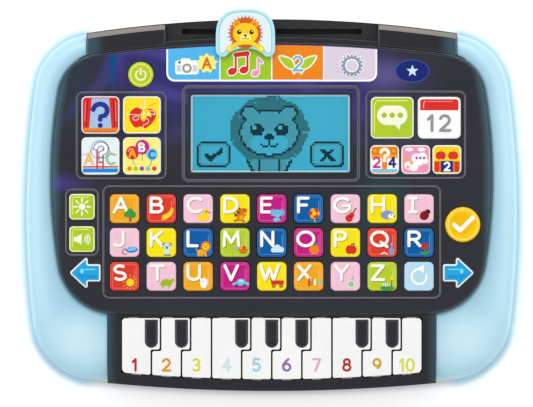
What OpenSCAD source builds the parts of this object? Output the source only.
// Toy learning tablet with light-up grips, letter keys, game buttons, a small screen,
// a mode slider and a ten-key piano.
// It lies on its back. +Z is out of the face, +Y is towards the mode slider, and the origin is on the back.

/* [Body] */
// Width across the two light grips
body_w = 240; // [238:0.5:242]
// Height of the body at its middle, without the slider badge
body_h = 180.6; // [180:0.2:182]
// Thickness from the back to the face panel
case_h = 30; // [30:0.5:32]
// Height at which the front case meets the rear case
split_z = 16; // [15.5:0.5:16.5]
// Side wall thickness of the cases
wall = 2; // [1.8:0.1:2.2]
// Thickness of the face panel
plate = 2.5; // [2.3:0.1:2.6]

/* [Keys] */
// Width of a letter key
letter_w = 14.3; // [13.8:0.1:14.6]
// Height of a letter key
letter_h = 14; // [13.6:0.1:14.2]
// Distance between letter columns
letter_dx = 17.85; // [17.6:0.05:18]
// Distance between letter rows
letter_dy = 16.4; // [16.2:0.1:16.6]
// How far key caps stand above the face panel
cap_proud = 1.2; // [1.1:0.1:1.5]
// Travel of every press button
press = 1; // [0.8:0.1:1]
// Gap between a cap and its opening
cap_gap = 0.3; // [0.25:0.05:0.35]

/* [Piano] */
// Width of the ten white keys together
piano_w = 146; // [144:0.5:147]
// Gap between white keys
key_gap = 0.8; // [0.7:0.1:1]
// Travel of a white key
key_travel = 1.2; // [1:0.1:1.2]

/* [Mode slider] */
// Distance between the four mode positions
mode_pitch = 25.5; // [25:0.1:25.8]
// Width of the slider badge
badge_w = 28.8; // [28:0.2:29]

/* [Battery bay] */
// Inside length of the bay, along the cells
bay_l = 58; // [57:0.5:59]
// Inside width of the bay, across three cells
bay_w = 45; // [44:0.5:46]

/* [Hidden] */
eps = 0.05;
LETTERS = "abcdefghijklmnopqrstuvwxyz";
corner_steps = 14;

// Heights
plate_z = case_h - plate;
bar_z = case_h - 1;
piano_z = case_h - 1.2;
board_z = case_h - 9;
board_t = 1.6;
dome_h = 2;
flange_z = plate_z - 0.1;
flange_t = 1.2;
plunger_z = board_z + dome_h + press + 0.1;
tray_z = board_z + dome_h + key_travel + 0.3;
tray_t = 1.5;
grip_z0 = 3;
grip_z1 = case_h - 2;
lug_z0 = split_z - 1;
lug_t = 2;
floor_t = 2.2;

// Body outline: four long arcs joined by corner arcs
top_y = body_h / 2;
side_r = 460;
side_y = -5;
top_r = 601;
bottom_r = 826;
corner_top = 29;
corner_bottom = 32;

// Face panel outline, made the same way
face_w = body_w - 25.7;
face_top = top_y - 11.4;
face_bottom = -top_y + 36.5;
face_side_r = 258;
face_side_y = 13.2;
face_top_r = 660;
face_bottom_r = 3000;
face_corner_top = 22;
face_corner_bottom = 28;

// Half widths of the slider bar above the face panel and of the piano frame below it
bar_half = body_w / 2 - 30;
piano_half = body_w / 2 - 40.2;

// Letter block and the other groups
letter_y = -18.2;
left_game = [-73, 33.7];
right_game = [69.8, 34];
settings = [-92, -8.7];
setting_size = [12.4, 12.4];
letter_corner = 2.2;
game_corner = 2.4;
setting_corner = 1.8;
screen_at = [-0.7, 34.7];
screen_size = [77.5, 38];
power_at = [-63.5, 63.2];
power_r = 6.2;
ok_at = [92.6, -9.5];
ok_r = 8.5;
arrow_x = 90.4;
arrow_y = -32.9;
arrow_size = [14.8, 14.8];
arrow_tail = 4.2;
arrow_neck = -1.8;
rim_corner = 3.4;
rim_w = 1.1;

// Piano
white_pitch = piano_w / 10;
white_top = -top_y + 35.4;
white_inset = 5.8;
sharp_shift = 4.45;
sharp_w = 5.9;
sharp_l = 13.3;
sharp_top = white_top - 0.9;
jog_y = white_top - 15.2;
white_z = tray_z + tray_t + key_travel + 0.1;
white_top_z = case_h - 0.1;
sharp_keys = [0, 1, 3, 4, 5, 7, 8];
plunger_half = 2.6;
plunger_y = white_top - 18.6;

// Mode slider: its rest is the second of four positions
track_half = 51.4;
track_y0 = top_y - 9.8;
track_floor = case_h - 4;
slot_y = top_y - 6;
slot_w = 2.6;
badge_z = case_h + 0.5;
badge_t = 2.4;
badge_y0 = top_y - 18.6;
badge_y1 = top_y + 4.9;
badge_power = 2.7;
badge_foot_r = 3.5;
mode_rest = -mode_pitch / 2;

// Screws, right half: those that also hold the grips, the other case screws, and those that hold the board
lug_screws = [[82, 75], [100, 14], [83, -44.8]];
plain_screws = [[30, 66], [58.4, -80]];
board_screws = [[46, 8.4], [45, -49.6]];
screw_r = 1.3;
head_r = 2.6;
head_z = 3;

// Battery bay and speaker
bay_at = [0, -36];
bay_top = 17.2;
door_size = [bay_l + 6, bay_w + 7];
door_corner = 3;
cell_pitch = 14.9;
cell_z = 9.6;
door_screw_y = bay_w / 2 + 6.4;
speaker_at = [0, 40];
speaker_r = 18;

// ---------- outlines ----------

function arc(c, r, a0, a1, n) = [for (i = [0:n]) let (a = a0 + (a1 - a0) * i / n) c + r * [cos(a), sin(a)]];

function angle_of(v) = atan2(v[1], v[0]);

// Where two circles meet: side 1 is to the left of the line from p to q, and -1 is to its right
function meet(p, rp, q, rq, side) =
    let (d = norm(q - p), u = (q - p) / d, a = (rp * rp - rq * rq + d * d) / (2 * d))
    p + a * u + side * sqrt(rp * rp - a * a) * [-u[1], u[0]];

// Drops points that repeat the one before, where two arcs join
function distinct(p) = [for (i = [0:len(p) - 1]) if (i == 0 || norm(p[i] - p[i - 1]) > 0.001) p[i]];

// Right half of a rounded outline, from the bottom middle to the top middle, moved inwards by inset
function right_half(w, y0, y1, sr, sy, tr, br, ct, cb, inset) =
    let (
        s = [w / 2 - sr, sy],
        t = [0, y1 - tr],
        b = [0, y0 + br],
        kt = meet(s, sr - ct, t, tr - ct, 1),
        kb = meet(s, sr - cb, b, br - cb, -1))
    distinct(concat(
        arc(b, br - inset, -90, angle_of(kb - b), 4),
        arc(kb, cb - inset, angle_of(kb - b), angle_of(kb - s), corner_steps),
        arc(s, sr - inset, angle_of(kb - s), angle_of(kt - s), 6),
        arc(kt, ct - inset, angle_of(kt - s), angle_of(kt - t), corner_steps),
        arc(t, tr - inset, angle_of(kt - t), 90, 4)));

function body_half(inset) =
    right_half(body_w, -top_y, top_y, side_r, side_y, top_r, bottom_r, corner_top, corner_bottom, inset);

function face_half(inset) =
    right_half(face_w, face_bottom, face_top, face_side_r, face_side_y, face_top_r, face_bottom_r,
               face_corner_top, face_corner_bottom, inset);

// Height at which a half outline crosses x, on its upper or its lower side
function y_at(p, x, upper) =
    [for (i = [0:len(p) - 2])
        let (a = p[i], b = p[i + 1])
        if ((a[0] - x) * (b[0] - x) <= 0 && (a[1] > 0) == upper)
            a[1] + (b[1] - a[1]) * (x - a[0]) / (b[0] - a[0])][0];

// The part of a half outline that lies right of x0 below and right of x1 above
function right_part(p, x0, x1) = concat(
    [[x0, y_at(p, x0, false)]],
    [for (q = p) if (q[0] > (q[1] > 0 ? x1 : x0) + 0.01) q],
    [[x1, y_at(p, x1, true)]]);

function left_part(p, x, upper) = [for (q = p) if (q[0] < x - 0.01 && (q[1] > 0) == upper) q];

function mirrored(p) = [for (i = [len(p) - 1:-1:0]) [-p[i][0], p[i][1]]];

function whole(h) = distinct(concat(h, mirrored([for (q = h) if (q[0] > 0.01) q])));

// The case: face panel, slider bar above it and piano frame below it, in one outline
function case_half(inset) =
    let (body = body_half(inset), face = face_half(inset), x0 = piano_half - inset, x1 = bar_half - inset)
    concat(
        left_part(body, x0, false),
        [[x0, y_at(body, x0, false)]],
        right_part(face, x0, x1),
        [[x1, y_at(body, x1, true)]],
        left_part(body, x1, true));

module case_shape(inset = 0) {
    polygon(whole(case_half(inset)));
}

// Everything beyond the face panel's upper edge, or beyond its lower edge
module beyond_face(upper) {
    x = upper ? bar_half : piano_half;
    face = face_half(0);
    edge = concat(left_part(face, x, upper), [[x, y_at(face, x, upper)], [x + 3, y_at(face, x, upper)]]);
    far = upper ? 120 : -120;
    ordered = upper ? concat([edge[len(edge) - 1], edge[len(edge) - 2]], left_part(face, x, true)) : edge;
    other = mirrored([for (q = ordered) if (q[0] > 0.01) q]);
    polygon(upper ? concat([[x + 3, far]], ordered, other, [[-x - 3, far]])
                  : concat(other, ordered, [[x + 3, far], [-x - 3, far]]));
}

// Right grip: the body's edge moved in by outer, up to the case moved out by gap
module grip_shape(outer, gap) {
    x0 = piano_half + gap;
    x1 = bar_half + gap;
    edge = right_part(body_half(outer), x0, x1);
    inner = right_part(face_half(-gap), x0, x1);
    polygon(concat(edge, [for (i = [len(inner) - 1:-1:0]) inner[i]]));
}

// Height of the body's lower edge at x, moved in by inset
function lower_y(x, inset) =
    let (r = bottom_r - inset) bottom_r - top_y - sqrt(r * r - x * x);

module rounded(size, r) {
    square([size[0] - 2 * r, size[1]], center = true);
    square([size[0], size[1] - 2 * r], center = true);
    for (x = [-1, 1], y = [-1, 1])
        translate([x * (size[0] / 2 - r), y * (size[1] / 2 - r)]) circle(r, $fn = 48);
}

module ring(size, r, width) {
    difference() {
        rounded(size, r);
        rounded([size[0] - 2 * width, size[1] - 2 * width], r - width);
    }
}

module slab(z0, z1) {
    translate([0, 0, z0]) linear_extrude(z1 - z0) children();
}

module both_sides() {
    children();
    mirror([1, 0, 0]) children();
}

// ---------- press buttons: where each one is and how big ----------

function letter_at(i) = [(i % 9 - 4) * letter_dx, letter_y + (1 - floor(i / 9)) * letter_dy];

// Game buttons 1 to 4 are on the left, 5 and 6 are the big ones on the right, 7 to 9 the small ones
function game_at(i) =
    i < 4 ? left_game + [(i % 2 - 0.5) * 20.1, (0.5 - floor(i / 2)) * 19.9]
    : i < 6 ? right_game + [(i - 4.5) * 22.8, 8.3]
    : right_game + [(i - 7) * 15.1, -12];
function game_size(i) = i < 4 ? [18.4, 18.1] : i < 6 ? [20.8, 20.2] : [14, 14];

function setting_at(i) = settings + [0, (0.5 - i) * 15.7];

square_spots = concat(
    [for (i = [0:26]) [letter_at(i), [letter_w, letter_h], letter_corner]],
    [for (i = [0:8]) [game_at(i), game_size(i), game_corner]],
    [for (i = [0:1]) [setting_at(i), setting_size, setting_corner]]);
round_spots = [[power_at, power_r], [ok_at, ok_r]];
arrow_spots = [[-arrow_x, arrow_y, -1], [arrow_x, arrow_y, 1]];

module arrow_shape(grow = 0) {
    w = arrow_size[0] / 2 + grow;
    h = arrow_size[1] / 2 + grow;
    tail = arrow_tail + grow;
    neck = arrow_neck - grow;
    polygon([[w, 0], [w - 1.6, 2], [neck + 1.4, h], [neck, h - 0.8], [neck, tail], [-w, tail],
             [-w, -tail], [neck, -tail], [neck, -h + 0.8], [neck + 1.4, -h], [w - 1.6, -2]]);
}

module dome_spots() {
    for (s = square_spots) translate(s[0]) children();
    for (s = round_spots) translate(s[0]) children();
    for (s = arrow_spots) translate([s[0], s[1]]) children();
    for (i = [0:9]) translate([white_x(i), plunger_y]) children();
}

module plunger() {
    translate([0, 0, plunger_z]) cylinder(r = 2, h = flange_z - flange_t - plunger_z + eps, $fn = 32);
}

// A cap through the face panel, a flange that stops it coming out, and a plunger over its dome
module square_button(at, size, r) {
    translate([at[0], at[1], 0]) {
        slab(flange_z - flange_t, flange_z) rounded([size[0], size[1] + 1.2], r);
        slab(flange_z - eps, case_h + cap_proud - 0.4) rounded(size, r);
        slab(case_h + cap_proud - 0.4 - eps, case_h + cap_proud) rounded(size - [1, 1], r - 0.5);
        plunger();
    }
}

module round_button(at, r) {
    translate([at[0], at[1], 0]) {
        slab(flange_z - flange_t, flange_z) circle(r + 0.8, $fn = 64);
        slab(flange_z - eps, case_h + cap_proud - 0.4) circle(r, $fn = 64);
        slab(case_h + cap_proud - 0.4 - eps, case_h + cap_proud) circle(r - 0.5, $fn = 64);
        plunger();
    }
}

module arrow_button(spot) {
    translate([spot[0], spot[1], 0]) rotate([0, 0, spot[2] > 0 ? 0 : 180]) {
        slab(flange_z - flange_t, flange_z) arrow_shape(0.6);
        slab(flange_z - eps, case_h + cap_proud - 0.4) arrow_shape();
        slab(case_h + cap_proud - 0.4 - eps, case_h + cap_proud) arrow_shape(-0.5);
        plunger();
    }
}

module letter_key(i, c) {
    color(c) square_button(letter_at(i), [letter_w, letter_h], letter_corner);
}

module game_button(i) {
    color("gold") square_button(game_at(i), game_size(i), game_corner);
}

module setting_button(i) {
    square_button(setting_at(i), setting_size, setting_corner);
}

// ---------- piano ----------

function white_x(i) = (i - 4.5) * white_pitch;
function has_sharp(i) = len([for (k = sharp_keys) if (k == i) 1]) > 0;
function follows_sharp(i) = i > 0 && has_sharp(i - 1);

// One white key: where a black key follows, the upper part reaches over the next key's lower part
module white_shape(i) {
    left = white_x(i) - white_pitch / 2 + key_gap / 2;
    right = white_x(i) + white_pitch / 2 - key_gap / 2;
    polygon(concat(
        [[left, lower_y(left, white_inset)], [right, lower_y(right, white_inset)]],
        has_sharp(i)
            ? [[right, jog_y], [right + sharp_shift, jog_y], [right + sharp_shift, white_top]]
            : [[right, white_top]],
        follows_sharp(i)
            ? [[left + sharp_shift, white_top], [left + sharp_shift, jog_y - key_gap],
               [left, jog_y - key_gap]]
            : [[left, white_top]]));
}

module sharp_shape(i, grow = 0) {
    translate([white_x(i) + white_pitch / 2, 0]) {
        translate([-sharp_w / 2 - grow, sharp_top - sharp_l + sharp_w / 2])
            square([sharp_w + 2 * grow, sharp_l - sharp_w / 2 + grow]);
        translate([0, sharp_top - sharp_l + sharp_w / 2]) circle(sharp_w / 2 + grow, $fn = 48);
    }
}

// Tabs that hold a white key under the frame's lip, above and below
module tab_shape(i, grow = 0) {
    shift = has_sharp(i) ? (follows_sharp(i) ? 0.8 : -1.4) : 2.2;
    size = [4.6 + 2 * grow, 2 + 2 * grow];
    translate([white_x(i) + shift, white_top]) square(size, center = true);
    translate([white_x(i), lower_y(white_x(i), white_inset)]) square(size, center = true);
}

module piano_key(i) {
    color("white") {
        difference() {
            slab(white_z, white_top_z) white_shape(i);
            if (has_sharp(i)) slab(white_z - 1, white_top_z + 1) sharp_shape(i, 0.35);
        }
        slab(white_z, white_z + 0.7) tab_shape(i);
        translate([white_x(i), plunger_y, 0])
            slab(board_z + dome_h + key_travel + 0.1, white_z + eps) square(2 * plunger_half, center = true);
    }
}

module tray_opening(grow = 0) {
    x = piano_w / 2 + 0.2 + grow;
    y = white_top + 0.4 + grow;
    floor_inset = white_inset - 0.5 - grow;
    steps = 10;
    lower = [for (k = [0:steps]) let (v = -x + 2 * x * k / steps) [v, lower_y(v, floor_inset)]];
    polygon(concat(lower, [[x, y], [-x, y]]));
}

// ---------- front case ----------

module screw_spots(list) {
    for (s = list) both_sides() translate([s[0], s[1], 0]) children();
}

module front_boss(z0, z1) {
    difference() {
        translate([0, 0, z0]) cylinder(r = 3.4, h = z1 - z0, $fn = 48);
        translate([0, 0, z0 - 1]) cylinder(r = screw_r + 0.05, h = 8, $fn = 48);
    }
}

module lug_shape(p, q, grow = 0) {
    a = atan2(q[1] - p[1], q[0] - p[0]);
    translate(p) {
        circle(3.6 + grow, $fn = 48);
        rotate([0, 0, a]) translate([0, -3.2 - grow]) square([norm(q - p), 6.4 + 2 * grow]);
    }
}

module lug_shapes(grow = 0) {
    lug_shape(lug_screws[0], [bar_half + 4, 75], grow);
    lug_shape(lug_screws[1], [face_w / 2 + 1.5, 14], grow);
    lug_shape(lug_screws[2], [89, -57.5], grow);
}

module key_openings() {
    for (s = square_spots) translate(s[0]) rounded(s[1] + 2 * [cap_gap, cap_gap], s[2] + cap_gap);
    for (s = round_spots) translate(s[0]) circle(s[1] + cap_gap, $fn = 64);
    for (s = arrow_spots) translate([s[0], s[1]]) rotate([0, 0, s[2] > 0 ? 0 : 180]) arrow_shape(cap_gap);
    translate(screen_at) rounded(screen_size, 1.2);
}

// Raised rims that frame the groups of buttons and the screen
module group_rims() {
    translate([0, letter_y + 0.2]) ring([164.4, 55.2], rim_corner, rim_w);
    translate(left_game) ring([44.2, 42.8], rim_corner, rim_w);
    translate(right_game) ring([49, 43], rim_corner, rim_w);
    translate(settings + [0, 0.3]) ring([16.6, 32.8], rim_corner, rim_w);
    translate(screen_at + [0.3, -0.2]) ring([86.6, 47.2], rim_corner, rim_w + 0.3);
}

module track_recess() {
    // Floor of the slider's track, open towards the top edge
    slab(track_floor, case_h + 5) translate([-track_half, track_y0]) square([2 * track_half, 40]);
    // Slot for the slider's tongue
    slab(plate_z - 8, track_floor + 1) translate([0, slot_y])
        square([3 * mode_pitch + 11, slot_w], center = true);
}

module front_case() {
    color([0.12, 0.12, 0.14]) {
        difference() {
            slab(split_z, case_h) case_shape();
            // Hollow under the face panel, shallower under the slider's track
            difference() {
                slab(split_z - 1, plate_z) case_shape(wall);
                slab(track_floor - 2, case_h) translate([-track_half - 2, track_y0 - 2])
                    square([2 * track_half + 4, 40]);
                slab(tray_z, case_h) tray_opening(1.6);
            }
            // The slider bar and the piano frame lie lower than the face panel
            slab(bar_z, case_h + 1) beyond_face(true);
            slab(piano_z, case_h + 1) beyond_face(false);
            slab(plate_z - 1, case_h + 1) key_openings();
            slab(tray_z + tray_t, case_h + 1) tray_opening();
            slab(tray_z + tray_t, white_z + 0.9) for (i = [0:9]) tab_shape(i, 0.3);
            slab(tray_z - 1, case_h) for (i = [0:9])
                translate([white_x(i), plunger_y]) square(2 * plunger_half + 0.8, center = true);
            track_recess();
            both_sides() slab(split_z - 1, lug_z0 + lug_t + 0.2) lug_shapes(0.3);
        }
        slab(case_h - eps, case_h + 0.6) group_rims();
        // Black keys: fixed islands that stand through the white keys
        slab(tray_z + tray_t - eps, case_h + 0.4) for (i = sharp_keys) sharp_shape(i);
        screw_spots(lug_screws) front_boss(lug_z0 + lug_t + 0.2, plate_z + eps);
        screw_spots([plain_screws[0]]) front_boss(split_z + 0.1, plate_z + eps);
        screw_spots([plain_screws[1]]) front_boss(split_z + 0.1, tray_z + eps);
        screw_spots(board_screws) difference() {
            translate([0, 0, board_z + eps]) cylinder(r = 2.2, h = plate_z - board_z, $fn = 48);
            translate([0, 0, board_z - 1]) cylinder(r = 0.95, h = 6, $fn = 48);
        }
    }
}

// ---------- rear case ----------

module rear_boss_spots() {
    screw_spots(lug_screws) children();
    screw_spots(plain_screws) children();
}

module door_screw_spots() {
    for (side = [-1, 1]) translate([bay_at[0], bay_at[1] + side * door_screw_y, 0]) children();
}

module at_bay() {
    translate([bay_at[0], bay_at[1], 0]) children();
}

module at_speaker() {
    translate([speaker_at[0], speaker_at[1], 0]) children();
}

module bay_block(grow, z0, z1) {
    at_bay() slab(z0, z1) square([bay_l + 2 * grow, bay_w + 2 * grow], center = true);
}

module speaker_slots() {
    for (k = [-3:3]) {
        half = sqrt(pow(speaker_r - 4, 2) - pow(4 * k, 2));
        translate([speaker_at[0], speaker_at[1] + 4 * k]) rounded([2 * half, 1.8], 0.85);
    }
}

module rear_case() {
    color([0.1, 0.1, 0.11]) difference() {
        union() {
            difference() {
                union() {
                    slab(1.6, split_z) case_shape();
                    slab(0, 1.7) case_shape(1.6);
                }
                slab(floor_t, split_z + 1) case_shape(wall);
            }
            rear_boss_spots() cylinder(r = 3.8, h = lug_z0 - 0.2, $fn = 48);
            screw_spots(plain_screws) cylinder(r = 3.8, h = split_z, $fn = 48);
            bay_block(1.6, 0, bay_top + 1);
            at_bay() slab(0, 3.8) square(door_size + [5, 5], center = true);
            door_screw_spots() {
                cylinder(r = 7.2, h = 3.8, $fn = 48);
                cylinder(r = 4.4, h = 9, $fn = 48);
            }
            at_speaker() difference() {
                cylinder(r = speaker_r + 1.8, h = 7, $fn = 96);
                translate([0, 0, floor_t]) cylinder(r = speaker_r + 0.2, h = 10, $fn = 96);
            }
        }
        bay_block(0, -1, bay_top);
        at_bay() slab(-1, 1.9) rounded(door_size + [0.6, 0.6], door_corner + 0.3);
        // Rebates round the door's screw ears, and their pilot holes
        door_screw_spots() {
            translate([0, 0, -1]) cylinder(r = 5.3, h = 2.9, $fn = 48);
            translate([0, 0, -1]) cylinder(r = screw_r + 0.05, h = 9, $fn = 48);
        }
        slab(-1, 4) speaker_slots();
        rear_boss_spots() {
            translate([0, 0, -1]) cylinder(r = screw_r + 0.35, h = split_z + 2, $fn = 48);
            translate([0, 0, -1]) cylinder(r = head_r + 0.5, h = head_z + 1, $fn = 48);
        }
        both_sides() slab(lug_z0 - 0.2, split_z + 1) lug_shapes(0.3);
    }
}

// ---------- light grips ----------

// Rounded by four steps at each edge, and hollow for the lights
module side_grips() {
    steps = [[0, 4.2], [0.9, 2.4], [2, 1.1], [3.6, 0.3]];
    color([0.55, 0.83, 0.95]) both_sides() {
        difference() {
            for (s = steps) slab(grip_z0 + s[0], grip_z1 - s[0]) grip_shape(s[1], 0.25);
            slab(grip_z0 + 2, grip_z1 - 2) grip_shape(6.4, 2.2);
        }
        slab(lug_z0, lug_z0 + lug_t) difference() {
            lug_shapes();
            for (s = lug_screws) translate(s) circle(screw_r + 0.6, $fn = 48);
        }
    }
}

// ---------- screen ----------

module display_module() {
    glass = screen_size + [5, 5];
    color([0.35, 0.75, 0.85]) translate([screen_at[0], screen_at[1], 0]) {
        // Clear lens in the face panel's window
        slab(plate_z + 0.6, plate_z + 1.6) rounded(screen_size - [0.4, 0.4], 1);
        // Liquid-crystal glass
        slab(plate_z - 1.7, plate_z - 0.2) square(glass, center = true);
        // Moulded frame with its backlight, seated on the board
        difference() {
            slab(board_z + 0.1, plate_z - 0.6) square(glass + [2.6, 2.6], center = true);
            slab(plate_z - 1.8, plate_z) square(glass + [0.2, 0.2], center = true);
            slab(board_z - 1, board_z + 2.4) square(glass - [4, 4], center = true);
        }
    }
}

// ---------- electronics: one soldered harness ----------

module board_shape() {
    // Right half: under the piano, past the waists round the screws, and up to the slider's contacts
    piano_part = [[0, -83], [73, -83], [73, -47], [78.5, -47], [78.5, -40.2], [90, -38.6], [97, -34]];
    side_part = [[101, -15], [101, 6], [94.5, 9], [94.5, 19], [101, 22], [101, 40], [96, 54]];
    slider_part = [[88, 61.4], [46, 61.4], [45, 86.2], [0, 86.2]];
    difference() {
        polygon(whole(concat(piano_part, side_part, slider_part)));
        screw_spots(plain_screws) circle(4.2, $fn = 48);
        screw_spots(board_screws) circle(1.3, $fn = 32);
    }
}

module cell_contacts() {
    // Sprung end and flat end for each of three cells
    for (k = [-1:1]) {
        translate([bay_at[0] - bay_l / 2 + 0.1, bay_at[1] + cell_pitch * k, cell_z]) rotate([0, 90, 0]) {
            cylinder(r = 5, h = 0.5, $fn = 32);
            cylinder(r1 = 4.2, r2 = 2.4, h = 4.4, $fn = 32);
        }
        translate([bay_at[0] + bay_l / 2 - 0.9, bay_at[1] + cell_pitch * k, cell_z]) rotate([0, 90, 0])
            cylinder(r = 5, h = 0.8, $fn = 32);
    }
}

module speaker() {
    at_speaker() translate([0, 0, floor_t + 0.1]) {
        cylinder(r = speaker_r, h = 3, $fn = 96);
        translate([0, 0, 3 - eps]) cylinder(r = speaker_r - 5, h = 4, $fn = 96);
        translate([0, 0, 7 - 2 * eps]) cylinder(r = 8, h = 2.6, $fn = 64);
    }
}

module light_bar() {
    // Row of lights on a strip of board, inside each grip
    translate([body_w / 2 - 9.6, -20, 9]) cube([0.9, 52, 9]);
    for (k = [0:3]) translate([body_w / 2 - 8.75, -16 + 12.5 * k, 11.6]) cube([1.1, 3.6, 3.6]);
}

module electronics() {
    color([0.1, 0.35, 0.2]) {
        slab(board_z - board_t, board_z) board_shape();
        // Snap domes
        dome_spots() translate([0, 0, board_z - eps]) cylinder(r1 = 3.2, r2 = 1.6, h = dome_h, $fn = 32);
        // Key lights beside the letter domes
        for (i = [0:26]) translate([letter_at(i)[0] + 4.6, letter_at(i)[1] + 4, board_z - eps])
            translate([-0.8, -0.8, 0]) cube([1.6, 1.6, 0.9]);
        // Controller under its blob, memory and the screen's connector, on the board's lower side
        translate([60, 28, board_z - board_t - 1.8 + eps]) cylinder(r = 7, h = 1.8, $fn = 48);
        translate([-68, 22, board_z - board_t - 1.6 + eps]) cube([12, 8, 1.6]);
        translate([-20, 56, board_z - board_t - 1.4 + eps]) cube([40, 3, 1.4]);
        both_sides() light_bar();
        cell_contacts();
        speaker();
    }
}

// ---------- battery door, screws, slider ----------

// A cross-head screw, head down
module screw(z0, length, r = screw_r, head = head_r, head_h = 1.8) {
    difference() {
        translate([0, 0, z0]) {
            cylinder(r = head, h = head_h, $fn = 32);
            cylinder(r = r, h = length, $fn = 32);
        }
        for (a = [0, 90]) translate([0, 0, z0]) rotate([0, 0, a])
            cube([head * 1.1, 0.7, head_h * 1.3], center = true);
    }
}

// The door keeps its two screws, so it and they lift off together
module battery_door() {
    color([0.13, 0.13, 0.14]) {
        difference() {
            union() {
                at_bay() slab(0.15, 1.75) rounded(door_size, door_corner);
                at_bay() slab(1.7, 2.6) ring([bay_l - 1, bay_w - 1], 2, 1.4);
                door_screw_spots() translate([0, 0, 0.15]) cylinder(r = 5, h = 1.6, $fn = 48);
            }
            door_screw_spots() {
                translate([0, 0, -1]) cylinder(r = screw_r + 0.3, h = 5, $fn = 48);
                translate([0, 0, -1]) cylinder(r = head_r + 0.3, h = 1.9, $fn = 48);
            }
        }
        door_screw_spots() screw(0.2, 7, screw_r, head_r, 0.6);
    }
}

module screws() {
    color([0.7, 0.7, 0.72]) {
        rear_boss_spots() screw(head_z - 1.9, split_z + 8 - head_z);
        screw_spots(board_screws) screw(board_z - board_t - 1.9, 5.6, 0.9, 1.9);
    }
}

// The badge's domed upper edge, a little squarer than a half circle
function badge_dome(w, y) =
    [for (k = [0:48])
        let (c = cos(180 * k / 48), s = sin(180 * k / 48))
        [w * sign(c) * pow(abs(c), 2 / badge_power), y + w * pow(s, 2 / badge_power)]];

module badge_shape(inset = 0) {
    w = badge_w / 2 - inset;
    foot_y = badge_y0 + badge_foot_r;
    dome_y = badge_y1 - badge_w / 2;
    difference() {
        union() {
            polygon(badge_dome(w, dome_y));
            translate([-w, foot_y]) square([2 * w, dome_y - foot_y + eps]);
            for (side = [-1, 1]) translate([side * (w - badge_foot_r + inset / 2), foot_y])
                circle(badge_foot_r - inset / 2, $fn = 48);
            translate([-w + badge_foot_r, badge_y0 + inset / 2]) square([2 * (w - badge_foot_r), 6]);
        }
        translate([0, badge_y0 - 9.3]) circle(13.6 + inset, $fn = 96);
    }
}

module mode_slider() {
    color([0.8, 0.93, 0.96]) translate([mode_rest, 0, 0]) {
        slab(badge_z, badge_z + badge_t - 0.5) badge_shape();
        slab(badge_z + badge_t - 0.55, badge_z + badge_t) badge_shape(0.8);
        // Carriage in the track, tongue through the slot, and the foot that carries the contact
        translate([0, slot_y, 0]) {
            slab(track_floor + 0.2, badge_z + eps) square([16, 5.4], center = true);
            slab(board_z + 1.4, track_floor + 0.3) square([10, slot_w - 0.4], center = true);
            slab(board_z + 0.4, track_floor - 2.2) square([12, slot_w + 1.4], center = true);
        }
    }
}

// ---------- what is drawn ----------

ORANGE = [0.96, 0.62, 0.12];
RED = [0.89, 0.17, 0.16];
PINK = [0.96, 0.73, 0.84];
YELLOW = [0.98, 0.88, 0.1];
PURPLE = [0.72, 0.07, 0.53];
BLUE = [0.02, 0.33, 0.66];
GREEN = [0.6, 0.78, 0.2];
SKY = [0.2, 0.65, 0.85];
PALE = [0.72, 0.87, 0.96];
key_colors = [ORANGE, RED, PINK, YELLOW, PURPLE, BLUE, PINK, YELLOW, PINK,
              PINK, YELLOW, BLUE, GREEN, BLUE, PURPLE, YELLOW, RED, BLUE,
              RED, PINK, ORANGE, PURPLE, YELLOW, ORANGE, PINK, GREEN, PALE];

front_case();
rear_case();
side_grips();
display_module();
electronics();
battery_door();
screws();
mode_slider();
color(GREEN) round_button(power_at, power_r);  // power_button
color(YELLOW) round_button(ok_at, ok_r);  // ok_button
color(SKY) arrow_button(arrow_spots[0]);  // arrow_left_button
color(SKY) arrow_button(arrow_spots[1]);  // arrow_right_button
color(GREEN) setting_button(0);  // brightness_button
color(GREEN) setting_button(1);  // volume_button
for (i = [0:8]) game_button(i);
for (i = [0:9]) piano_key(i);
for (i = [0:25]) letter_key(i, key_colors[i]);
letter_key(26, key_colors[26]);  // key_repeat
